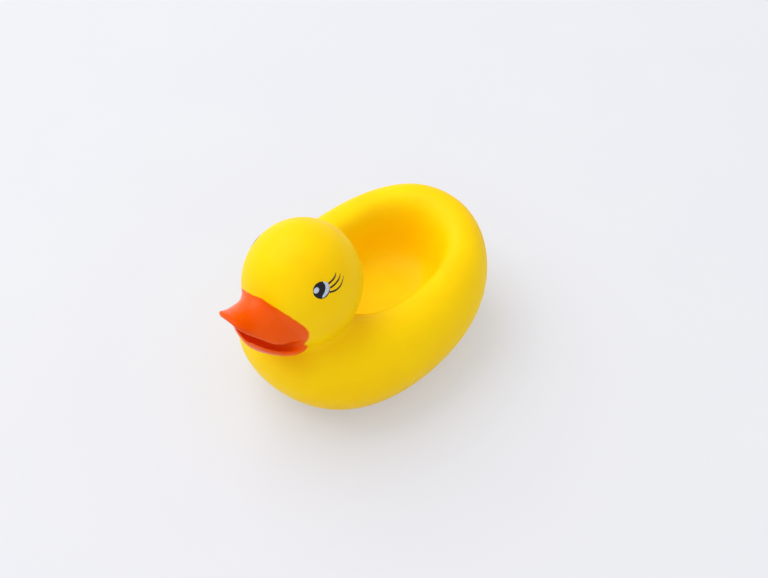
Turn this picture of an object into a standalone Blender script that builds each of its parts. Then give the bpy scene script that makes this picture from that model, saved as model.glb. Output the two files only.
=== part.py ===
"""A squeaking bath duck in soft vinyl, with a deep recess in its back, and the squeaker in its base.

The duck faces -Y, its left side is +X, and it rests on z = 0. Lengths are in millimetres until
they reach Blender, which works in metres.
"""
import math
from collections import namedtuple

import bmesh
import bpy
from mathutils import Vector

MM = 0.001
GAP = 0.3                  # clearance round each separate piece, per side
WALL = 2.4                 # vinyl wall, measured into the body
MIDDLE_Y = 9.0             # moves the whole duck so that the middle of its length is at y = 0
ROUND_STEPS = 48           # sides of a turned or drilled shape

# Hull: rings round the body, from the middle of the base, up the flank, over the rim and
# down into the recess. Each row: half width, front y, back y, z at front, z at side, z at back.
COLUMNS = 16
BODY_HALF_WIDTH = 48.6
CHEST_Y = -64.0
TAIL_Y = 64.6
BASE_Z = -1.0              # the middle of the base before it is cut flat at z = 0
RECESS_FLOOR_Z = 22.0
RIM_Z = 48.5
HULL_RINGS = (
    (9.0, -14.0, 10.0, BASE_Z, BASE_Z, BASE_Z),
    (24.0, -34.0, 31.0, BASE_Z, BASE_Z, BASE_Z),
    (31.0, -41.5, 39.0, BASE_Z, BASE_Z, BASE_Z),
    (39.6, -52.0, 49.0, 6.0, 6.0, 8.5),
    (BODY_HALF_WIDTH, CHEST_Y, 61.0, 21.5, 21.0, 24.0),
    (47.0, -64.5, TAIL_Y, 35.5, 34.0, 38.0),
    (40.0, -58.5, 61.5, 48.5, 45.5, 51.0),
    (30.0, -45.0, 52.0, 55.0, RIM_Z, 54.0),
    (23.4, -25.0, 43.5, 50.0, 45.5, 49.0),
    (21.4, -21.5, 40.0, 34.0, 33.0, 35.0),
    (18.0, -17.0, 35.0, RECESS_FLOOR_Z, RECESS_FLOOR_Z, RECESS_FLOOR_Z),
    (7.0, 0.0, 18.0, RECESS_FLOOR_Z, RECESS_FLOOR_Z, RECESS_FLOOR_Z),
)
SQUARENESS = 0.88          # 1 gives a plain oval in plan, less gives fuller corners
BASE_FLAT_Z = 0.0          # the underside is cut flat here, so that the duck stands firmly

HEAD_CENTRE = Vector((0.0, -38.4, 71.0))
HEAD_RADII = Vector((25.2, 25.9, 29.0))
HEAD_SEGMENTS = 40
HEAD_RINGS = 26

# Neck: radius and height of its outline, from the centre of the head.
NECK = ((0.0, -31.0), (16.5, -31.0), (17.6, -25.0), (18.6, -19.0), (19.0, -13.0), (0.0, -13.0))

# Bill sections from the centre of the head: distance forward, half width, height of the
# middle, height of the side edge, thickness.
BILL_STEPS = 6
UPPER_BILL = (
    (10.0, 13.9, 10.0, -3.0, 8.0),
    (17.2, 18.7, 14.0, -3.1, 10.0),
    (21.8, 14.6, 12.3, -5.7, 8.0),
    (28.7, 13.8, 9.4, -2.8, 5.4),
    (32.6, 11.2, 9.7, 1.8, 3.8),
    (37.1, 8.6, 11.2, 6.5, 2.8),
    (41.8, 6.6, 13.4, 13.0, 2.2),
)
LOWER_BILL = (
    (6.0, 11.0, -10.0, -8.0, 9.0),
    (13.0, 18.0, -9.2, -7.0, 13.4),
    (19.5, 18.8, -9.8, -6.6, 13.4),
    (25.0, 16.6, -9.2, -5.6, 12.0),
    (29.8, 12.4, -7.0, -4.4, 9.6),
    (34.0, 6.4, -4.4, -3.2, 6.0),
)

# Squeaker, a stock plug pressed into a seat in the base.
SQUEAKER_Y = -3.0
PLUG_RADIUS = 7.5
PLUG_HEIGHT = 11.0
PLUG_WALL = 1.2
FLANGE_RADIUS = 9.5
FLANGE_THICK = 1.2
FLANGE_SUNK = 0.4
AIR_HOLE_RADIUS = 1.5
SEAT_WALL = 2.4
SEAT_HEIGHT = 9.0
CUP_FLOOR = 1.0            # thickness of the cup's floor, over the flange
RIM_CHAMFER = 0.6
BLOCK_HEIGHT = 7.0
REED_LEDGE = 0.9           # what the block leaves under the reed
REED_THICK = 0.4
REED_WIDTH = 4.0
REED_LENGTH = 5.6
CHANNEL_WIDTH = 3.0
CHANNEL_DEPTH = 3.7        # from the squeaker's axis back

Setting = namedtuple("Setting", "group parent material")


def clear_scene():
    for old in list(bpy.data.objects):
        bpy.data.objects.remove(old, do_unlink=True)


def new_collection(name, hidden):
    group = bpy.data.collections.new(name)
    group.hide_render = hidden
    bpy.context.scene.collection.children.link(group)
    return group


def new_empty(name, place, parent, group):
    made = bpy.data.objects.new(name, None)
    made.empty_display_size = 0.02
    made.location = Vector(place) * MM
    made.parent = parent
    group.objects.link(made)
    return made


def new_material(name, colour, roughness):
    material = bpy.data.materials.new(name)
    material.use_nodes = True
    shader = material.node_tree.nodes["Principled BSDF"]
    shader.inputs["Base Color"].default_value = (*colour, 1.0)
    shader.inputs["Roughness"].default_value = roughness
    material.diffuse_color = (*colour, 1.0)
    return material


def put(name, shell, setting, place=(0.0, 0.0, 0.0)):
    """An object from a bmesh in millimetres, placed under its setting's parent."""
    bmesh.ops.scale(shell, vec=(MM, MM, MM), verts=shell.verts)
    mesh = bpy.data.meshes.new(name)
    shell.to_mesh(mesh)
    shell.free()
    mesh.polygons.foreach_set("use_smooth", [True] * len(mesh.polygons))
    mesh.materials.append(setting.material)
    made = bpy.data.objects.new(name, mesh)
    made.location = Vector(place) * MM
    made.parent = setting.parent
    setting.group.objects.link(made)
    if setting.group.hide_render:
        made.hide_render = True
        made.display_type = "WIRE"
    return made


def subdivide(made, levels):
    smooth = made.modifiers.new("smooth", "SUBSURF")
    smooth.levels = levels
    smooth.render_levels = levels
    return made


def combine(made, other, operation):
    boolean = made.modifiers.new(other.name, "BOOLEAN")
    boolean.operation = operation
    boolean.object = other
    boolean.solver = "EXACT"
    return made


def box(name, low, high, setting):
    size = Vector(high) - Vector(low)
    shell = bmesh.new()
    bmesh.ops.create_cube(shell, size=1.0)
    bmesh.ops.scale(shell, vec=size, verts=shell.verts)
    return put(name, shell, setting, Vector(low) + size / 2)


def disc(name, radius, low, high, setting):
    """An upright cylinder about its parent's axis."""
    shell = bmesh.new()
    bmesh.ops.create_cone(
        shell, cap_ends=True, segments=ROUND_STEPS, radius1=radius, radius2=radius, depth=high - low
    )
    return put(name, shell, setting, (0.0, 0.0, (low + high) / 2))


def ellipsoid(name, radii, segments, rings, setting, place):
    shell = bmesh.new()
    bmesh.ops.create_uvsphere(shell, u_segments=segments, v_segments=rings, radius=1.0)
    bmesh.ops.scale(shell, vec=radii, verts=shell.verts)
    return put(name, shell, setting, place)


def turned(name, profile, closed, setting, place=(0.0, 0.0, 0.0)):
    """A turned solid from (radius, height) points, listed from the bottom outwards and up."""
    shell = bmesh.new()
    points = [shell.verts.new((radius, 0.0, height)) for radius, height in profile]
    if closed:
        points.append(points[0])
    for start, end in zip(points, points[1:]):
        shell.edges.new((start, end))
    made = put(name, shell, setting, place)
    screw = made.modifiers.new("turn", "SCREW")
    screw.steps = ROUND_STEPS
    screw.render_steps = ROUND_STEPS
    screw.use_merge_vertices = True
    screw.merge_threshold = 0.00001
    screw.use_normal_flip = True
    return made


def loft(rings):
    """A closed skin through rings of equal length, with a flat face on each end."""
    shell = bmesh.new()
    rows = [[shell.verts.new(point) for point in ring] for ring in rings]
    count = len(rows[0])
    for low, high in zip(rows, rows[1:]):
        for column in range(count):
            onward = (column + 1) % count
            shell.faces.new((low[column], low[onward], high[onward], high[column]))
    shell.faces.new(rows[0])
    shell.faces.new(rows[-1])
    bmesh.ops.recalc_face_normals(shell, faces=shell.faces)
    return shell


def ring_point(ring, turn):
    """The point of one hull ring at this angle: 0 is the chest, a quarter turn the duck's left."""
    half_width, front, back, z_front, z_side, z_back = ring
    along = math.cos(turn)
    across = math.sin(turn)
    middle = (front + back) / 2
    reach = (back - front) / 2
    z_end = z_front if along > 0 else z_back
    return (
        half_width * math.copysign(abs(across) ** SQUARENESS, across),
        middle - reach * math.copysign(abs(along) ** SQUARENESS, along),
        z_side + (z_end - z_side) * along * along,
    )


def shift_inwards(shell, inset):
    """Moves every cage point inwards so that each face around it moves by the inset."""
    shell.normal_update()
    moved = []
    for vertex in shell.verts:
        spread = min(vertex.normal.dot(face.normal) for face in vertex.link_faces)
        moved.append(vertex.co - vertex.normal * inset / max(spread, 0.7))
    for vertex, place in zip(shell.verts, moved):
        vertex.co = place


def hull(name, inset, levels, setting):
    turns = [2 * math.pi * column / COLUMNS for column in range(COLUMNS)]
    shell = loft([[ring_point(ring, turn) for turn in turns] for ring in HULL_RINGS])
    if inset:
        shift_inwards(shell, inset)
    return subdivide(put(name, shell, setting), levels)


def bill_ring(section, steps):
    """One closed section of a bill: over the top from the duck's right to its left, and back."""
    forward, half_width, middle, edge, thick = section
    over = []
    under = []
    for step in range(steps + 1):
        across = math.sin((2 * step / steps - 1) * math.pi / 2)
        drop = abs(across) ** 2.0
        top = middle + (edge - middle) * drop
        over.append((half_width * across, -forward, top))
        under.append((half_width * across, -forward, top - thick * (1 - 0.45 * drop)))
    return over + under[::-1]


def bill(name, sections, setting):
    shell = loft([bill_ring(section, BILL_STEPS) for section in sections])
    return subdivide(put(name, shell, setting, HEAD_CENTRE), 1)


def bill_room(name, sections, setting):
    """The hollow inside a bill, as far forward as the bill is thick enough to have one."""
    inner = [
        (forward, half_width - 1.5 * WALL, middle - WALL, edge - WALL, thick - 2 * WALL)
        for forward, half_width, middle, edge, thick in sections
        if thick > 2.6 * WALL
    ]
    return bill(name, inner, setting)


def build_duck(solid, cutter, sprayed):
    """The one-piece vinyl casting: outside forms joined, then the inside taken out."""
    duck = hull("duck_body", 0.0, 2, solid)
    wall = Vector((WALL, WALL, WALL))
    joined = (
        ellipsoid("head_form", HEAD_RADII, HEAD_SEGMENTS, HEAD_RINGS, cutter, HEAD_CENTRE),
        turned("neck_form", NECK, False, cutter, HEAD_CENTRE),
        bill("upper_bill_form", UPPER_BILL, sprayed),
        bill("lower_bill_form", LOWER_BILL, sprayed),
    )
    for form in joined:
        combine(duck, form, "UNION")
    cavity = hull("hull_cavity", WALL, 1, cutter)
    floor = box("floor_form", (-80.0, -90.0, -20.0), (80.0, 90.0, BASE_FLAT_Z + WALL), cutter)
    combine(cavity, floor, "DIFFERENCE")
    combine(duck, cavity, "DIFFERENCE")
    rooms = (
        ellipsoid("head_cavity", HEAD_RADII - wall, 24, 14, cutter, HEAD_CENTRE),
        bill_room("lower_bill_cavity", LOWER_BILL, cutter),
    )
    for room in rooms:
        combine(duck, room, "DIFFERENCE")
    return duck


def build_seat(duck, cutter):
    """The seat that the squeaker is pressed into, and the flat base round it."""
    bore = PLUG_RADIUS + GAP
    rebate = FLANGE_RADIUS + GAP
    ledge = FLANGE_SUNK + FLANGE_THICK + GAP
    middle = WALL / 2
    combine(duck, disc("seat_form", bore + SEAT_WALL, middle, SEAT_HEIGHT, cutter), "UNION")
    combine(duck, disc("seat_pad", rebate + SEAT_WALL, middle, ledge + SEAT_WALL, cutter), "UNION")
    below = box("base_cut", (-80.0, -90.0, -20.0), (80.0, 90.0, BASE_FLAT_Z), cutter)
    combine(duck, below, "DIFFERENCE")
    combine(duck, disc("seat_bore", bore, -1.0, SEAT_HEIGHT + 1.0, cutter), "DIFFERENCE")
    combine(duck, disc("flange_rebate", rebate, -1.0, ledge, cutter), "DIFFERENCE")


def build_squeaker(plug, film, cutter):
    """The stock squeaker: a flanged cup, the block pressed into it, and the reed in the block."""
    under = FLANGE_SUNK + FLANGE_THICK
    inner = PLUG_RADIUS - PLUG_WALL
    top = FLANGE_SUNK + PLUG_HEIGHT
    turned("squeaker_housing", (
        (AIR_HOLE_RADIUS, FLANGE_SUNK),
        (FLANGE_RADIUS, FLANGE_SUNK),
        (FLANGE_RADIUS, under),
        (PLUG_RADIUS, under),
        (PLUG_RADIUS, top - RIM_CHAMFER),
        (PLUG_RADIUS - RIM_CHAMFER, top),
        (inner, top),
        (inner, under + CUP_FLOOR),
        (AIR_HOLE_RADIUS, under + CUP_FLOOR),
    ), True, plug)
    low = under + CUP_FLOOR + GAP
    high = low + BLOCK_HEIGHT
    block_radius = inner - GAP
    block = disc("reed_block", block_radius, low, high, plug)
    reed_low = low + REED_LEDGE + GAP
    half_slot = REED_WIDTH / 2 + GAP
    half_gap = REED_THICK / 2 + GAP
    slot = box(
        "reed_slot", (-half_slot, -half_gap, low + REED_LEDGE), (half_slot, half_gap, high + 1.0), cutter
    )
    channel = box(
        "air_channel",
        (-CHANNEL_WIDTH / 2, 0.0, low - 1.0),
        (CHANNEL_WIDTH / 2, CHANNEL_DEPTH, high + 1.0),
        cutter,
    )
    combine(block, slot, "DIFFERENCE")
    combine(block, channel, "DIFFERENCE")
    box(
        "reed",
        (-REED_WIDTH / 2, -REED_THICK / 2, reed_low),
        (REED_WIDTH / 2, REED_THICK / 2, reed_low + REED_LENGTH),
        film,
    )


def main():
    clear_scene()
    parts = new_collection("bath_duck", False)
    cutters = new_collection("cutters", True)
    vinyl = new_material("yellow soft vinyl", (0.90, 0.72, 0.01), 0.42)
    paint = new_material("orange sprayed paint", (0.83, 0.10, 0.01), 0.3)
    plastic = new_material("white moulded plastic", (0.85, 0.85, 0.83), 0.4)
    clear = new_material("clear reed film", (0.7, 0.72, 0.74), 0.2)
    duck_middle = new_empty("duck_middle", (0.0, MIDDLE_Y, 0.0), None, parts)
    squeaker_axis = new_empty("squeaker_axis", (0.0, SQUEAKER_Y, 0.0), duck_middle, parts)
    duck = build_duck(
        Setting(parts, duck_middle, vinyl),
        Setting(cutters, duck_middle, vinyl),
        Setting(cutters, duck_middle, paint),
    )
    build_seat(duck, Setting(cutters, squeaker_axis, vinyl))
    build_squeaker(
        Setting(parts, squeaker_axis, plastic),
        Setting(parts, squeaker_axis, clear),
        Setting(cutters, squeaker_axis, plastic),
    )


main()
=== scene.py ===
import math

import bmesh
import bpy
import numpy as np
from mathutils import Matrix, Vector
from mathutils.bvhtree import BVHTree


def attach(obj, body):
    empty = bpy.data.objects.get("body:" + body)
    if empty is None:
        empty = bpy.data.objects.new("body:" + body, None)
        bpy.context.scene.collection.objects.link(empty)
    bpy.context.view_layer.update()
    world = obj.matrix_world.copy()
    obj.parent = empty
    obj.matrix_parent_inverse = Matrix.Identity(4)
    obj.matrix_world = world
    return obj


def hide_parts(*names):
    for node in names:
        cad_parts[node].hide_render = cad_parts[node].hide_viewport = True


# Rubber duck, dressed over its CAD frame. The duck faces -Y, its left is +X.
# Shapes are worked out in millimetres and turned to metres as they become meshes.

mm = 0.001

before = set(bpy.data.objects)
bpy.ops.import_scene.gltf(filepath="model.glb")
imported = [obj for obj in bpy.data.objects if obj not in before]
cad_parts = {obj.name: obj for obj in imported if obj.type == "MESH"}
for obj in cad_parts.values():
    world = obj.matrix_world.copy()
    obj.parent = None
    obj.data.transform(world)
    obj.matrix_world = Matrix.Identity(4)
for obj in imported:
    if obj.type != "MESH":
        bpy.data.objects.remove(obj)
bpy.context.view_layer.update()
print("stage 1: frame loaded,", len(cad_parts), "CAD nodes")


def toLinear(hexText):
    # sRGB hex to linear: each channel to the power 2.4 above the toe
    channels = [int(hexText[i:i + 2], 16) / 255 for i in (1, 3, 5)]
    linear = [c / 12.92 if c <= 0.04045 else ((c + 0.055) / 1.055) ** 2.4 for c in channels]
    return (*linear, 1.0)


def addNode(tree, kind, settings=None, links=None):
    # settings are attributes or input values, links are input name -> output socket
    node = tree.nodes.new(kind)
    for name, value in (settings or {}).items():
        if isinstance(name, int) or name in node.inputs:
            node.inputs[name].default_value = value
        else:
            setattr(node, name, value)
    for name, source in (links or {}).items():
        tree.links.new(source, node.inputs[name])
    return node


def newMaterial(name):
    material = bpy.data.materials.new(name)
    material.use_nodes = True
    tree = material.node_tree
    return material, tree, tree.nodes["Principled BSDF"]


def meshObject(name, points, faces):
    # points come in mm and become metres here
    mesh = bpy.data.meshes.new(name)
    mesh.from_pydata((np.asarray(points) * mm).tolist(), [], [list(f) for f in faces])
    mesh.polygons.foreach_set("use_smooth", [True] * len(mesh.polygons))
    mesh.update()
    obj = bpy.data.objects.new(name, mesh)
    bpy.context.scene.collection.objects.link(obj)
    return obj


def turnOut(obj):
    # doubles merged first, then every face turned to point outwards
    shell = bmesh.new()
    shell.from_mesh(obj.data)
    bmesh.ops.remove_doubles(shell, verts=shell.verts, dist=1e-7)
    bmesh.ops.dissolve_degenerate(shell, dist=1e-8, edges=shell.edges)
    bmesh.ops.recalc_face_normals(shell, faces=shell.faces)
    shell.to_mesh(obj.data)
    shell.free()
    return obj


def gridFaces(rows, columns):
    # quads of a rows x columns grid of points, its columns wrapping round
    r, c = np.meshgrid(np.arange(rows - 1), np.arange(columns), indexing="ij")
    after = (c + 1) % columns
    quads = np.stack([r * columns + c, r * columns + after,
                      (r + 1) * columns + after, (r + 1) * columns + c], -1)
    return quads.reshape(-1, 4)


def splineWeights(count, at, periodic):
    # uniform cubic B-spline: weights (1-t)^3, 3t^3-6t^2+4, -3t^3+3t^2+3t+1, t^3, all over 6
    at = np.asarray(at, float)
    start = np.floor(at).astype(int)
    if not periodic:
        start = np.minimum(start, count - 3)
    t = at - start
    weights = np.stack([(1 - t) ** 3, 3 * t ** 3 - 6 * t ** 2 + 4,
                        -3 * t ** 3 + 3 * t ** 2 + 3 * t + 1, t ** 3], 1) / 6
    matrix = np.zeros((len(at), count))
    for k in range(4):
        column = (start - 1 + k) % count if periodic else start - 1 + k
        np.add.at(matrix, (np.arange(len(at)), column), weights[:, k])
    return matrix


def splineSurface(cage, perSpanRows, perSpanColumns):
    # cage is rings x columns x 3: a bicubic B-spline skin, periodic round the rings, whose ends
    # close on a point through two phantom rings: the ring's centre, and its mirror image
    rings, columns = cage.shape[:2]
    first = cage[0].mean(0)
    last = cage[-1].mean(0)
    ends = [2 * first - cage[0], np.broadcast_to(first, cage[0].shape)]
    tails = [np.broadcast_to(last, cage[0].shape), 2 * last - cage[-1]]
    control = np.concatenate([np.array(ends), cage, np.array(tails)])
    rows = np.linspace(1, rings + 2, (rings + 1) * perSpanRows + 1)
    turns = np.linspace(0, columns, columns * perSpanColumns, endpoint=False)
    down = splineWeights(len(control), rows, False)
    around = splineWeights(columns, turns, True)
    return np.einsum("ri,cj,ijk->rck", down, around, control)


def closedGrid(name, grid):
    # the first and last rows are single points repeated: merged, so that the poles close
    rows, columns = grid.shape[:2]
    return turnOut(meshObject(name, grid.reshape(-1, 3), gridFaces(rows, columns)))


def splineForm(name, cage, span):
    return closedGrid(name, splineSurface(cage, span, span))


def takeModifiers(obj):
    # the object's evaluated mesh becomes its own mesh
    graph = bpy.context.evaluated_depsgraph_get()
    made = bpy.data.meshes.new_from_object(obj.evaluated_get(graph))
    old = obj.data
    obj.modifiers.clear()
    obj.data = made
    bpy.data.meshes.remove(old)
    return obj


def dropObjects(*objects):
    for obj in objects:
        mesh = obj.data
        bpy.data.objects.remove(obj, do_unlink=True)
        bpy.data.meshes.remove(mesh)


def readVectors(items, name):
    # a row of three numbers for every vertex or normal
    values = np.empty(len(items) * 3)
    items.foreach_get(name, values)
    return values.reshape(-1, 3)


hull = {
    "columns": 16,
    "squareness": 0.88,       # 1 is a plain oval in plan
    "middleY": 9.0,           # middle of the whole length at y = 0
    # half width, front y, back y, z at front, z at side, z at back: base, flank, rim, recess
    "rings": (
        (9.0, -14.0, 10.0, -1.0, -1.0, -1.0),
        (24.0, -34.0, 31.0, -1.0, -1.0, -1.0),
        (31.0, -41.5, 39.0, -1.0, -1.0, -1.0),
        (39.6, -52.0, 49.0, 6.0, 6.0, 8.5),
        (48.6, -64.0, 61.0, 21.5, 21.0, 24.0),
        (47.0, -64.5, 64.6, 35.5, 34.0, 38.0),
        (40.0, -58.5, 61.5, 48.5, 45.5, 51.0),
        (30.0, -45.0, 52.0, 55.0, 48.5, 54.0),
        (23.4, -25.0, 43.5, 50.0, 45.5, 49.0),
        (21.4, -21.5, 40.0, 34.0, 33.0, 35.0),
        (18.0, -17.0, 35.0, 22.0, 22.0, 22.0),
        (7.0, 0.0, 18.0, 22.0, 22.0, 22.0),
    ),
}

head = {
    "centre": (0.0, -38.4 + hull["middleY"], 71.0),
    "radii": (25.2, 25.9, 29.0),
    "neck": ((16.5, 40.0), (17.6, 46.0), (18.6, 52.0), (19.0, 58.0)),
}

bill = {
    "steps": 6,          # steps across a section
    "thinning": 0.45,    # share of the thickness that is lost between the middle and the edge
    "lip": 3.0,          # mm that is left at least
    # forward of the head's centre, half width, height of the middle, of the edge, thickness
    "upper": (
        (10.0, 13.9, 10.0, -3.0, 8.0),
        (17.2, 18.7, 14.0, -3.1, 10.0),
        (21.8, 14.6, 12.3, -5.7, 8.0),
        (28.7, 13.8, 9.4, -2.8, 5.4),
        (32.6, 11.2, 9.7, 2.0, 3.8),
        (37.1, 8.6, 11.4, 7.0, 3.0),
        (41.8, 6.6, 13.6, 13.2, 3.0),
    ),
    "lower": (
        (6.0, 11.0, -14.0, -12.4, 5.0),
        (13.0, 17.8, -16.2, -12.2, 6.2),
        (19.5, 18.8, -17.0, -11.4, 6.0),
        (25.0, 16.8, -16.4, -9.6, 5.2),
        (29.8, 12.6, -13.2, -7.4, 4.6),
        (33.6, 6.6, -8.4, -5.4, 4.0),
    ),
}


def signedPower(values, power):
    return np.sign(values) * np.abs(values) ** power


def hullCage():
    # each ring is a superellipse in plan whose height eases from front through side to back
    turn = np.linspace(0, 2 * np.pi, hull["columns"], endpoint=False)
    along, across = np.cos(turn), np.sin(turn)
    rows = []
    for halfWidth, front, back, zFront, zSide, zBack in hull["rings"]:
        zEnd = np.where(along > 0, zFront, zBack)
        rows.append(np.stack([
            halfWidth * signedPower(across, hull["squareness"]),
            (front + back) / 2 - (back - front) / 2 * signedPower(along, hull["squareness"])
            + hull["middleY"],
            zSide + (zEnd - zSide) * along ** 2,
        ], -1))
    return np.array(rows)


def ellipsoidGrid(centre, radii, rows, columns):
    # centre + radii * (sin v sin u, -sin v cos u, cos v)
    v = np.linspace(0, np.pi, rows)
    u = np.linspace(0, 2 * np.pi, columns, endpoint=False)
    v, u = np.meshgrid(v, u, indexing="ij")
    unit = np.stack([np.sin(v) * np.sin(u), -np.sin(v) * np.cos(u), np.cos(v)], -1)
    return np.array(centre) + np.array(radii) * unit


def neckGrid(columns=64):
    # a turned column between the hull and the head: radius over height, closed at both ends
    radius, height = np.array(head["neck"]).T
    radius = np.concatenate([[0], radius, [0]])
    height = np.concatenate([[height[0]], height, [height[-1]]])
    u = np.linspace(0, 2 * np.pi, columns, endpoint=False)
    return np.stack([
        head["centre"][0] + radius[:, None] * np.sin(u),
        head["centre"][1] - radius[:, None] * np.cos(u),
        np.broadcast_to(height[:, None], (len(height), columns)),
    ], -1)


def billCage(sections):
    # across a section x = w sin s; the top falls from middle to edge by sin s squared, and the
    # underside follows it with a thickness that thins towards the edge, but not below the lip's
    side = np.sin(np.linspace(-np.pi / 2, np.pi / 2, bill["steps"] + 1))
    drop = side ** 2
    rows = []
    for forward, halfWidth, middle, edge, thick in sections:
        x = halfWidth * side
        y = np.full_like(x, -forward)
        top = middle + (edge - middle) * drop
        under = top - np.maximum(thick * (1 - bill["thinning"] * drop), bill["lip"])
        over = np.stack([x, y, top], -1)
        below = np.stack([x, y, under], -1)[::-1]
        rows.append(np.concatenate([over, below]) + np.array(head["centre"]))
    return np.array(rows)


def neighbourMean(values, edges, degree):
    # mean of the values at the far ends of each vertex's edges
    total = np.zeros_like(values)
    flat = values.reshape(len(values), -1)
    sums = total.reshape(len(values), -1)
    for k in range(flat.shape[1]):
        sums[:, k] = (np.bincount(edges[:, 0], flat[edges[:, 1], k], len(values))
                      + np.bincount(edges[:, 1], flat[edges[:, 0], k], len(values)))
    return (sums / degree[:, None]).reshape(values.shape)


def swell(mesh, by):
    # every vertex goes out along its own normal by this many mm
    points = readVectors(mesh.vertices, "co")
    normals = readVectors(mesh.vertex_normals, "vector")
    mesh.vertices.foreach_set("co", (points + normals * by * mm).ravel())
    mesh.update()


casting = {
    "hullSpan": 10,             # faces between two points of the cage
    "billSpan": 8,
    "headGrid": (81, 144),
    "voxel": 0.85,              # mm
    "swollen": 0.8,             # mm that the forms stand out while they are joined
    "noiseRounds": 16,
    "noiseSteps": (0.5, -0.53),
    "creaseFrom": 0.035,        # hollowness, in steps of the grid, at which a crease begins
    "creaseOver": 0.03,         # further hollowness over which it counts in full
    "creaseGrowth": 4,          # steps by which the rounded strip is widened
    "creaseRounds": 26,
    "creaseStep": 0.5,
}


def softenSkin(mesh):
    # the casting's own softness: grid noise is taken out by alternating a smoothing step and a
    # swelling step, and hollow creases are rounded by smoothing only where the surface is concave
    points = readVectors(mesh.vertices, "co") / mm
    normals = readVectors(mesh.vertex_normals, "vector")
    edges = np.empty(len(mesh.edges) * 2, int)
    mesh.edges.foreach_get("vertices", edges)
    edges = edges.reshape(-1, 2)
    degree = np.bincount(edges.ravel(), minlength=len(points)).astype(float)
    for _ in range(casting["noiseRounds"]):
        for factor in casting["noiseSteps"]:
            points += factor * (neighbourMean(points, edges, degree) - points)
    hollow = ((neighbourMean(points, edges, degree) - points) * normals).sum(1) / casting["voxel"]
    mask = np.clip((hollow - casting["creaseFrom"]) / casting["creaseOver"], 0, 1)
    for _ in range(casting["creaseGrowth"]):
        mask = np.maximum(mask, neighbourMean(mask, edges, degree))
    mask = mask[:, None]
    for _ in range(casting["creaseRounds"]):
        points += casting["creaseStep"] * mask * (neighbourMean(points, edges, degree) - points)
    mesh.vertices.foreach_set("co", (points * mm).ravel())
    mesh.update()


paint = {
    "aimUp": -8.8,        # degrees: middle of the sprayed field, seen from the head's centre
    "sag": 0.25,          # degrees that it hangs lower per degree towards the duck's right
    "halfTurn": 51.5,     # degrees to each side
    "halfRise": 31.0,     # degrees up and down
    "mmPerUnit": 20.0,    # mm on the skin from the field's middle to its edge
    "standOff": 0.9,      # mm off the head's own surface at which skin counts as bill
    "standOffWithin": 1.45,    # size of the oval inside which such skin counts
    "deepest": 21.0,      # mm below the head's middle at which the paint ends, under the bill
    "frontFrom": -0.25,   # only skin in front of this share of the head's half length is measured
    "furthest": 5.0,      # mm, the largest distance kept, inwards and outwards
}


def gapTo(forms, points):
    # mm from each point to the nearest surface of these forms
    graph = bpy.context.evaluated_depsgraph_get()
    trees = [BVHTree.FromObject(form, graph) for form in forms]
    return np.array([min(tree.find_nearest(p)[3] for tree in trees) for p in points * mm]) / mm


def paintDistance(points, billForms, hullForm):
    # mm inside the sprayed field: an oval in turn and rise about the head's centre, or anything
    # that stands off the head in front of it, and always nearer to the bill than to the chest
    away = (points - np.array(head["centre"])) / np.array(head["radii"])
    size = np.linalg.norm(away, axis=1)
    turn = np.degrees(np.arctan2(away[:, 0], -away[:, 1]))
    rise = np.degrees(np.arcsin(np.clip(away[:, 2] / size, -1, 1)))
    aim = paint["aimUp"] + paint["sag"] * np.minimum(turn, 0)
    oval = np.hypot(turn / paint["halfTurn"], (rise - aim) / paint["halfRise"])
    inOval = (1 - oval) * paint["mmPerUnit"]
    standOff = (size - 1) * head["radii"][1] - paint["standOff"]
    far = paint["furthest"]
    standOff = np.where(oval < paint["standOffWithin"], standOff, -far)
    field = np.clip(np.maximum(inOval, standOff), -far, far)
    field = np.minimum(field, away[:, 2] * head["radii"][2] + paint["deepest"])
    near = (field > -far) & (away[:, 1] < paint["frontFrom"])
    field[~near] = -far
    nearer = gapTo([hullForm], points[near]) - gapTo(billForms, points[near])
    field[near] = np.minimum(field[near], nearer)
    return field


def cutAway(obj, cutter):
    boolean = obj.modifiers.new("cut", "BOOLEAN")
    boolean.operation = "DIFFERENCE"
    boolean.object = cutter
    boolean.solver = "MANIFOLD"
    takeModifiers(obj)
    dropObjects(cutter)


def cylinderGrid(radius, low, high, centreY, columns=64):
    # closed upright cylinder about (0, centreY)
    r = np.array([0, radius, radius, 0])
    z = np.array([low, low, high, high])
    u = np.linspace(0, 2 * np.pi, columns, endpoint=False)
    return np.stack([r[:, None] * np.sin(u), centreY - r[:, None] * np.cos(u),
                     np.broadcast_to(z[:, None], (4, columns))], -1)


squeakerSeat = {
    "centreY": -3.0 + hull["middleY"],
    "bore": 7.8,          # radius
    "rebate": 9.8,        # radius
    "ledge": 1.9,         # height of the rebate
    "height": 9.0,
    "plugRoom": 4.0,      # above the seat, where the plug goes on into the duck
    "reach": 5.0,         # the bore's and the rebate's cutters start this far below the base
    "baseCutter": (120.0, 20.0),    # radius and depth of what takes away all below z = 0
}


def buildForms():
    headGrid = ellipsoidGrid(head["centre"], head["radii"], *casting["headGrid"])
    hullForm = splineForm("hullForm", hullCage(), casting["hullSpan"])
    headForm = closedGrid("headForm", headGrid)
    neckForm = closedGrid("neckForm", neckGrid())
    billForms = [splineForm(part + "BillForm", billCage(bill[part]), casting["billSpan"])
                 for part in ("upper", "lower")]
    return hullForm, headForm, neckForm, billForms


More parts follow.
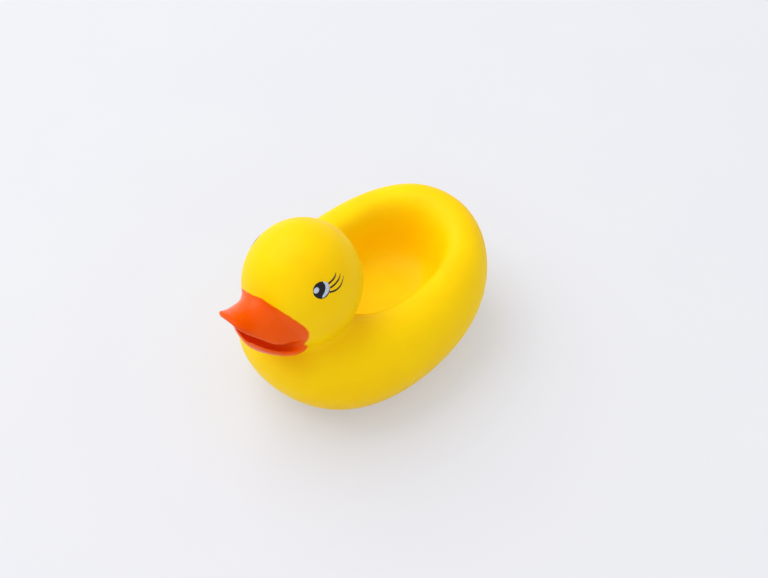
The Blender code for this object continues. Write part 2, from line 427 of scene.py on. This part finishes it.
def joinForms(forms):
    # the forms are joined a little swollen, so that the thin lips span enough of the grid, and the
    # joined skin goes back in by as much
    skin = meshObject("duckSkin", np.zeros((0, 3)), [])
    shell = bmesh.new()
    for form in forms:
        shell.from_mesh(form.data)
    shell.to_mesh(skin.data)
    shell.free()
    swell(skin.data, casting["swollen"])
    remesh = skin.modifiers.new("voxels", "REMESH")
    remesh.mode = "VOXEL"
    remesh.voxel_size = casting["voxel"] * mm
    takeModifiers(skin)
    softenSkin(skin.data)
    swell(skin.data, -casting["swollen"])
    return skin


def cutBase(skin):
    # everything below z = 0, then the plug's bore and the flange's rebate; the skin is solid
    # inside, so the bore leaves room for the whole plug
    seat = squeakerSeat
    wide, deep = seat["baseCutter"]
    for name, radius, low, high, centreY in (
        ("below", wide, -deep, 0, 0),
        ("bore", seat["bore"], -seat["reach"], seat["height"] + seat["plugRoom"], seat["centreY"]),
        ("rebate", seat["rebate"], -seat["reach"], seat["ledge"], seat["centreY"]),
    ):
        cutAway(skin, closedGrid(name, cylinderGrid(radius, low, high, centreY)))


def buildDuckSkin():
    hullForm, headForm, neckForm, billForms = buildForms()
    forms = [hullForm, headForm, neckForm, *billForms]
    skin = joinForms(forms)
    cutBase(skin)
    mesh = skin.data
    points = readVectors(mesh.vertices, "co") / mm
    layer = mesh.attributes.new("sprayDistance", "FLOAT", "POINT")
    layer.data.foreach_set("value", paintDistance(points, billForms, hullForm))
    dropObjects(*forms)
    mesh.polygons.foreach_set("use_smooth", [True] * len(mesh.polygons))
    mesh.polygons.foreach_set("material_index", [0] * len(mesh.polygons))
    mesh.materials.clear()
    print("stage 2: skin has", len(mesh.polygons), "faces")
    return skin


eye = {
    # degrees round from the bill and up from the head's middle, for the side the eye is on; the
    # duck's right eye is out of sight in the photo, so it sits further back and lower by guess
    "place": {1: (69.0, 38.0), -1: (76.5, 32.0)},
    "proud": 0.07,        # mm that the ink stands off the vinyl
    "overprint": 0.05,    # mm that the pale ink stands off the black
    "edge": -0.05,        # mm: where the ink's edge meets the vinyl, just under its surface
    "depth": 0.12,        # mm that its closed underside reaches in
    # the disc, the glint, the crescent of light and the lashes, as (backwards, up) mm on the head
    "middle": (-0.3, 0.42),
    "radius": 3.85,
    "glint": {"middle": (-2.4, 1.15), "half": (1.2, 1.5), "lean": -45.0},
    "crescent": (
        ((1.35, 3.72), (3.2, 2.3), (3.35, 0.3), (2.5, -1.5), (0.5, -2.75), (-0.75, -2.85)),
        ((1.15, 3.5), (1.5, 2.1), (1.3, 0.75), (0.5, -0.6), (-0.4, -1.6), (-0.85, -2.5)),
    ),
    "lashes": (
        ((3.2, 1.95), (7.2, 2.75), (7.9, 4.9)),
        ((3.5, 0.0), (8.5, 0.75), (9.8, 3.6)),
        ((2.8, -1.6), (8.3, -3.2), (10.9, 2.0)),
    ),
    "lashWidth": 0.95,
}


def printPatch(name, outline, side, proud):
    # a flat outline of (backwards, up) mm is filled by rings about its centre and laid on the
    # head, and closed beneath
    centre = outline.mean(0)
    rings = np.linspace(0, 1, 7)
    flat = centre + rings[:, None, None] * (outline - centre)
    lift = np.full(len(rings), proud)
    lift[-1] = eye["edge"]
    top = onHead(flat, side, lift[:, None])
    under = onHead(flat[::-1], side, np.full((len(rings), 1), -eye["depth"]))
    grid = np.concatenate([top, under])
    return closedGrid(name, grid)


def onHead(flat, side, lift):
    # from the eye's own flat frame, backwards and upwards, on to the head, standing off by lift
    turn, rise = (math.radians(angle) for angle in eye["place"][side])
    radii = np.array(head["radii"])
    out = np.array([math.cos(rise) * math.sin(turn), -math.cos(rise) * math.cos(turn),
                    math.sin(rise)])
    spot = out / np.sqrt(((out / radii) ** 2).sum())
    normal = spot / radii ** 2
    normal /= np.linalg.norm(normal)
    back = np.cross(np.array([0, 0, 1.0]), normal)
    back /= np.linalg.norm(back)
    up = np.cross(normal, back)
    place = spot + flat[..., :1] * back + flat[..., 1:] * up
    # project along the normal on to the ellipsoid: solve |(place + s n) / radii| = 1
    p, n = place / radii, normal / radii
    a, b, c = (n * n).sum(), (p * n).sum(-1), (p * p).sum(-1) - 1
    s = (-b + np.sqrt(np.maximum(b * b - a * c, 0))) / a
    onSkin = place + s[..., None] * normal
    skinNormal = onSkin / radii ** 2
    skinNormal /= np.linalg.norm(skinNormal, axis=-1, keepdims=True)
    laid = onSkin + np.broadcast_to(lift, onSkin.shape[:-1])[..., None] * skinNormal
    laid[..., 0] *= side
    return laid + np.array(head["centre"])


def ovalOutline(middle, half, lean, count=48):
    # a leaning oval: middle + rotate(lean) of (half width cos, half height sin)
    u = np.linspace(0, 2 * np.pi, count, endpoint=False)
    c, s = math.cos(math.radians(lean)), math.sin(math.radians(lean))
    x, y = half[0] * np.cos(u), half[1] * np.sin(u)
    return np.array(middle) + np.stack([x * c - y * s, x * s + y * c], -1)


def smoothPath(points, count):
    # a curve through every point: cubic spans whose slope at a point is half the step between
    # its two neighbours, with the ends mirrored
    p = np.array(points, float)
    p = np.vstack([2 * p[0] - p[1], p, 2 * p[-1] - p[-2]])
    at = np.linspace(0, len(p) - 3 - 1e-9, count)
    span = at.astype(int)
    t = (at - span)[:, None]
    a, b, c, d = (p[span + k] for k in range(4))
    return (2 * b + (c - a) * t + (2 * a - 5 * b + 4 * c - d) * t ** 2
            + (3 * b - a - 3 * c + d) * t ** 3) / 2


def lashEdges(path, width, count=20):
    # the two edges of a stroke along (1-t)^2 a + 2t(1-t) b + t^2 c: its width is
    # 0.9 + 0.5t - 1.3t^2 of the full width, so it swells a little and then tapers
    t = np.linspace(0, 1, count)[:, None]
    p0, p1, p2 = (np.array(p, float) for p in path)
    middle = (1 - t) ** 2 * p0 + 2 * t * (1 - t) * p1 + t ** 2 * p2
    slope = 2 * (1 - t) * (p1 - p0) + 2 * t * (p2 - p1)
    across = np.stack([-slope[:, 1], slope[:, 0]], -1)
    across = across / np.linalg.norm(slope, axis=1, keepdims=True)
    half = width / 2 * (0.9 + 0.5 * t - 1.3 * t ** 2)
    return middle + across * half, middle - across * half


def strokePatch(name, edges, side, proud):
    # a stroke's two edges are joined straight across, on the head, and closed beneath
    left, right = edges
    shares = np.array([0, 0.15, 0.5, 0.85, 1])[:, None, None]
    top = left + shares * (right - left)
    lift = np.array([eye["edge"], proud, proud, proud, eye["edge"]])[:, None]
    upper = onHead(top, side, lift)
    lower = onHead(top[::-1], side, np.full((len(shares), 1), -eye["depth"]))
    ring = np.concatenate([upper, lower]).transpose(1, 0, 2)
    first, last = (np.broadcast_to(end.mean(0), (1, *end.shape)) for end in (ring[0], ring[-1]))
    return closedGrid(name, np.concatenate([first, ring, last]))


def addNoise(tree, coords, perMetre, detail=2.0, roughness=0.5):
    return addNode(tree, "ShaderNodeTexNoise",
                   {"Scale": perMetre, "Detail": detail, "Roughness": roughness},
                   {"Vector": coords}).outputs["Fac"]


def remap(tree, source, low, high, toLow, toHigh):
    return addNode(tree, "ShaderNodeMapRange",
                   {"From Min": low, "From Max": high, "To Min": toLow, "To Max": toHigh},
                   {"Value": source}).outputs["Result"]


def mixColour(tree, factor, first, second):
    node = addNode(tree, "ShaderNodeMix", {"data_type": "RGBA"}, {0: factor})
    for index, value in ((6, first), (7, second)):
        if isinstance(value, tuple):
            node.inputs[index].default_value = value
        else:
            tree.links.new(value, node.inputs[index])
    return node.outputs[2]


def blendHex(tree, noise, first, second, low=0.35):
    # one hex colour to the other over the noise's middle range
    share = remap(tree, noise, low, 0.7, 0.0, 1.0)
    return mixColour(tree, share, toLinear(first), toLinear(second))


def addBump(tree, shader, height, strength, metres):
    bump = addNode(tree, "ShaderNodeBump", {"Strength": strength, "Distance": metres},
                   {"Height": height})
    tree.links.new(bump.outputs["Normal"], shader.inputs["Normal"])


def addMath(tree, operation, links, settings=None):
    return addNode(tree, "ShaderNodeMath", {"operation": operation, **(settings or {})},
                   links).outputs[0]


vinyl = {
    "yellow": ("#FBD400", "#F6C900"),
    "orange": ("#F05E00", "#E64E00"),
    "cloudMm": 28.0,
    "grainMm": 0.55,            # the mould's blasted texture, a little coarse so that it shows
    "grainHeight": 0.00006,     # metres
    "sprayEdgeMm": 0.35,
    "waverMm": 0.25,            # how far the mask's edge wanders
    "roughness": (0.36, 0.48),
    "sprayGloss": 0.13,         # how much less rough the sprayed bill is
    "specular": (0.08, 0.12),       # bare vinyl, sprayed bill
    "subsurface": (0.12, 0.3),      # bare vinyl, sprayed bill
    "scatter": (0.004, 0.0025, 0.0006),     # metres, for red, green and blue
}


def rotocastVinyl():
    # soft PVC cast in a turning mould: satin, a little translucent, with a fine blasted grain;
    # the bill is sprayed through a mask, so its edge is soft by a fraction of a millimetre
    material, tree, shader = newMaterial("rotocastVinylSprayedBill")
    coords = addNode(tree, "ShaderNodeTexCoord").outputs["Object"]
    cloud = addNoise(tree, coords, 1000 / vinyl["cloudMm"], 3.0)
    grain = addNoise(tree, coords, 1000 / vinyl["grainMm"], 2.0, 0.6)
    distance = addNode(tree, "ShaderNodeAttribute", {"attribute_name": "sprayDistance"})
    waver = remap(tree, addNoise(tree, coords, 1000 / 3.5, 3.0), 0.3, 0.7,
                  -vinyl["waverMm"], vinyl["waverMm"])
    edge = addMath(tree, "ADD", {0: distance.outputs["Fac"], 1: waver})
    sprayed = remap(tree, edge, -vinyl["sprayEdgeMm"], vinyl["sprayEdgeMm"], 0.0, 1.0)
    colour = mixColour(tree, sprayed, blendHex(tree, cloud, *vinyl["yellow"]),
                       blendHex(tree, cloud, *vinyl["orange"]))
    tree.links.new(colour, shader.inputs["Base Color"])
    rough = remap(tree, addNoise(tree, coords, 1000 / 9.0, 4.0), 0.3, 0.7, *vinyl["roughness"])
    glossy = addMath(tree, "MULTIPLY_ADD", {0: sprayed, 2: rough}, {1: -vinyl["sprayGloss"]})
    tree.links.new(glossy, shader.inputs["Roughness"])
    addBump(tree, shader, grain, 0.12, vinyl["grainHeight"])
    shader.inputs["IOR"].default_value = 1.5
    for name, ends in (("Specular IOR Level", vinyl["specular"]),
                       ("Subsurface Weight", vinyl["subsurface"])):
        tree.links.new(remap(tree, sprayed, 0.0, 1.0, *ends), shader.inputs[name])
    shader.inputs["Subsurface Radius"].default_value = vinyl["scatter"]
    shader.inputs["Subsurface Scale"].default_value = 1.0
    return material


def padPrintInk(name, hexText, hexEdge, rough):
    # pad-printed vinyl ink: a thin even film, slightly mottled where the pad lifted
    material, tree, shader = newMaterial(name)
    coords = addNode(tree, "ShaderNodeTexCoord").outputs["Object"]
    mottle = addNoise(tree, coords, 1000 / 0.9, 3.0, 0.6)
    tree.links.new(blendHex(tree, mottle, hexText, hexEdge), shader.inputs["Base Color"])
    tree.links.new(remap(tree, mottle, 0.3, 0.7, rough - 0.05, rough + 0.08),
                   shader.inputs["Roughness"])
    addBump(tree, shader, mottle, 0.1, 0.00004)
    shader.inputs["Specular IOR Level"].default_value = 0.25
    return material


def milkyPlastic(name, hexText, hexShade, rough):
    # the squeaker's plastics, moulded or film: waxy and milky, with faint cloudy marks
    material, tree, shader = newMaterial(name)
    coords = addNode(tree, "ShaderNodeTexCoord").outputs["Object"]
    cloud = addNoise(tree, coords, 1000 / 4.0, 3.0)
    tree.links.new(blendHex(tree, cloud, hexText, hexShade), shader.inputs["Base Color"])
    tree.links.new(remap(tree, cloud, 0.3, 0.7, rough - 0.06, rough + 0.08),
                   shader.inputs["Roughness"])
    addBump(tree, shader, addNoise(tree, coords, 1000 / 0.4), 0.1, 0.00005)
    shader.inputs["Subsurface Weight"].default_value = 0.1
    shader.inputs["Subsurface Radius"].default_value = (0.002, 0.002, 0.002)
    shader.inputs["Subsurface Scale"].default_value = 1.0
    return material


skin = buildDuckSkin()
skin.data.materials.append(rotocastVinyl())
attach(skin, "root")
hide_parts("duck_body")

blackInk = padPrintInk("padPrintBlackInk", "#0C0C12", "#16161E", 0.38)
paleInk = padPrintInk("padPrintPaleInk", "#C3CDE6", "#AEBCD4", 0.45)


def buildEye(label, side):
    black, pale = eye["proud"], eye["proud"] + eye["overprint"]
    glint = eye["glint"]
    disc = ovalOutline(eye["middle"], (eye["radius"], eye["radius"]), 0)
    shine = ovalOutline(glint["middle"], glint["half"], glint["lean"])
    crescent = [smoothPath(edge, 24) for edge in eye["crescent"]]
    pieces = [
        (printPatch(label + "EyeInk", disc, side, black), blackInk),
        (printPatch(label + "EyeGlint", shine, side, pale), paleInk),
        (strokePatch(label + "EyeLight", crescent, side, pale), paleInk),
    ]
    for number, path in enumerate(eye["lashes"]):
        edges = lashEdges(path, eye["lashWidth"])
        pieces.append((strokePatch(label + "Lash" + str(number + 1), edges, side, black), blackInk))
    for obj, ink in pieces:
        obj.data.materials.append(ink)
        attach(obj, "root")


buildEye("left", 1)
buildEye("right", -1)
print("stage 3: eyes printed")

# CAD node: the material's name, its two colours and its roughness
squeaker = {
    "squeaker_housing": ("mouldedPolyethyleneHousing", "#F1F0EA", "#E4E3DC", 0.42),
    "reed_block": ("mouldedPolyethyleneBlock", "#E9E8E2", "#DAD9D2", 0.45),
    "reed": ("polyesterReedFilm", "#C9D2DA", "#BAC5CF", 0.25),
}
for node, look in squeaker.items():
    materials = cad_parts[node].data.materials
    materials.clear()
    materials.append(milkyPlastic(*look))
print("stage 4: squeaker dressed")


studio = {
    "floor": ("#DCDEE4", "#DADCE3"),
    "floorHalf": 2500.0,     # mm
    "floorZ": -0.02,         # mm, so that it shares no plane with the duck's base
    "backdrop": "#ECEEF4",
    "clearFrom": 0.32,       # metres from the object at which the floor starts to fade to backdrop
    "clearAt": 0.75,
    "litAlready": 0.42,      # share of the floor that is backdrop everywhere, so shadows stay light
    "worldLight": "#FFFAF4",
    "worldStrength": 0.78,
    # name, place, target, size, watts, tint
    "lamps": (
        ("keyLamp", (-1.15, -0.3, 1.75), (0, 0, 0.03), 2.4, 34.0, "#F8FAFF"),
        ("fillLamp", (0.6, -0.7, 0.5), (0, 0, 0.04), 0.8, 0.6, "#FFFAF4"),
    ),
}


def seenRay(tree):
    # 1 for what the camera, a reflection or a clear part looks at, 0 for light that bounces
    path = addNode(tree, "ShaderNodeLightPath")
    either = addMath(tree, "MAXIMUM",
                     {0: path.outputs["Is Camera Ray"], 1: path.outputs["Is Glossy Ray"]})
    return addMath(tree, "MAXIMUM", {0: either, 1: path.outputs["Is Transmission Ray"]})


def buildFloor():
    # matt card that keeps the object's shadow and fades to the backdrop's colour further out
    half, z = studio["floorHalf"], studio["floorZ"]
    corners = [(-half, -half, z), (half, -half, z), (half, half, z), (-half, half, z)]
    floor = meshObject("studioFloor", corners, [(0, 1, 2, 3)])
    material, tree, shader = newMaterial("paperSweep")
    coords = addNode(tree, "ShaderNodeTexCoord").outputs["Object"]
    fibre = addNoise(tree, coords, 1000 / 60.0, 4.0)
    tree.links.new(blendHex(tree, fibre, *studio["floor"], low=0.3), shader.inputs["Base Color"])
    shader.inputs["Roughness"].default_value = 0.9
    shader.inputs["Specular IOR Level"].default_value = 0.1
    away = addNode(tree, "ShaderNodeVectorMath", {"operation": "LENGTH"}, {0: coords})
    fade = remap(tree, away.outputs["Value"], studio["clearFrom"], studio["clearAt"],
                 studio["litAlready"], 1.0)
    seen = addMath(tree, "MULTIPLY", {0: fade, 1: seenRay(tree)})
    glow = addNode(tree, "ShaderNodeEmission",
                   {"Color": toLinear(studio["backdrop"]), "Strength": 1.0})
    mix = addNode(tree, "ShaderNodeMixShader", {},
                  {0: seen, 1: shader.outputs[0], 2: glow.outputs[0]})
    tree.links.new(mix.outputs[0], tree.nodes["Material Output"].inputs["Surface"])
    floor.data.materials.append(material)


def buildWorld():
    world = bpy.data.worlds.new("softStudio")
    bpy.context.scene.world = world
    world.use_nodes = True
    tree = world.node_tree
    tree.nodes.clear()
    light = addNode(tree, "ShaderNodeBackground",
                    {"Color": toLinear(studio["worldLight"]), "Strength": studio["worldStrength"]})
    backdrop = addNode(tree, "ShaderNodeBackground",
                       {"Color": toLinear(studio["backdrop"]), "Strength": 1.0})
    mix = addNode(tree, "ShaderNodeMixShader", {},
                  {0: seenRay(tree), 1: light.outputs[0], 2: backdrop.outputs[0]})
    addNode(tree, "ShaderNodeOutputWorld", {}, {"Surface": mix.outputs[0]})


def addLamp(name, place, target, size, watts, tint):
    light = bpy.data.lights.new(name, "AREA")
    light.shape = "DISK"
    light.size = size
    light.energy = watts
    light.color = toLinear(tint)[:3]
    lamp = bpy.data.objects.new(name, light)
    bpy.context.scene.collection.objects.link(lamp)
    lamp.location = place
    lamp.rotation_euler = (Vector(target) - Vector(place)).to_track_quat("-Z", "Y").to_euler()


camera = {
    "azimuth": 43.0,        # degrees round from the duck's front towards its left
    "elevation": 50.0,
    "distance": 0.6565,     # metres
    "lens": 67.78,          # mm, on a sensor 36 mm wide
    "sensor": 36,
    "look": (0.0, 0.009, 0.027),
    "shift": (0.0247, 0.0120),
}


def buildCamera():
    a, e = math.radians(camera["azimuth"]), math.radians(camera["elevation"])
    back = Vector((math.sin(a) * math.cos(e), -math.cos(a) * math.cos(e), math.sin(e)))
    right = Vector((math.cos(a), math.sin(a), 0))
    up = back.cross(right)
    data = bpy.data.cameras.new("photoCamera")
    data.lens = camera["lens"]
    data.sensor_width = camera["sensor"]
    data.shift_x, data.shift_y = camera["shift"]
    data.clip_start = 0.02
    obj = bpy.data.objects.new("photoCamera", data)
    bpy.context.scene.collection.objects.link(obj)
    place = Vector(camera["look"]) + back * camera["distance"]
    obj.matrix_world = Matrix.Translation(place) @ Matrix((right, up, back)).transposed().to_4x4()
    bpy.context.scene.camera = obj


buildFloor()
buildWorld()
for lamp in studio["lamps"]:
    addLamp(*lamp)
buildCamera()
bpy.context.scene.view_settings.view_transform = "Standard"
print("stage 5: studio ready")
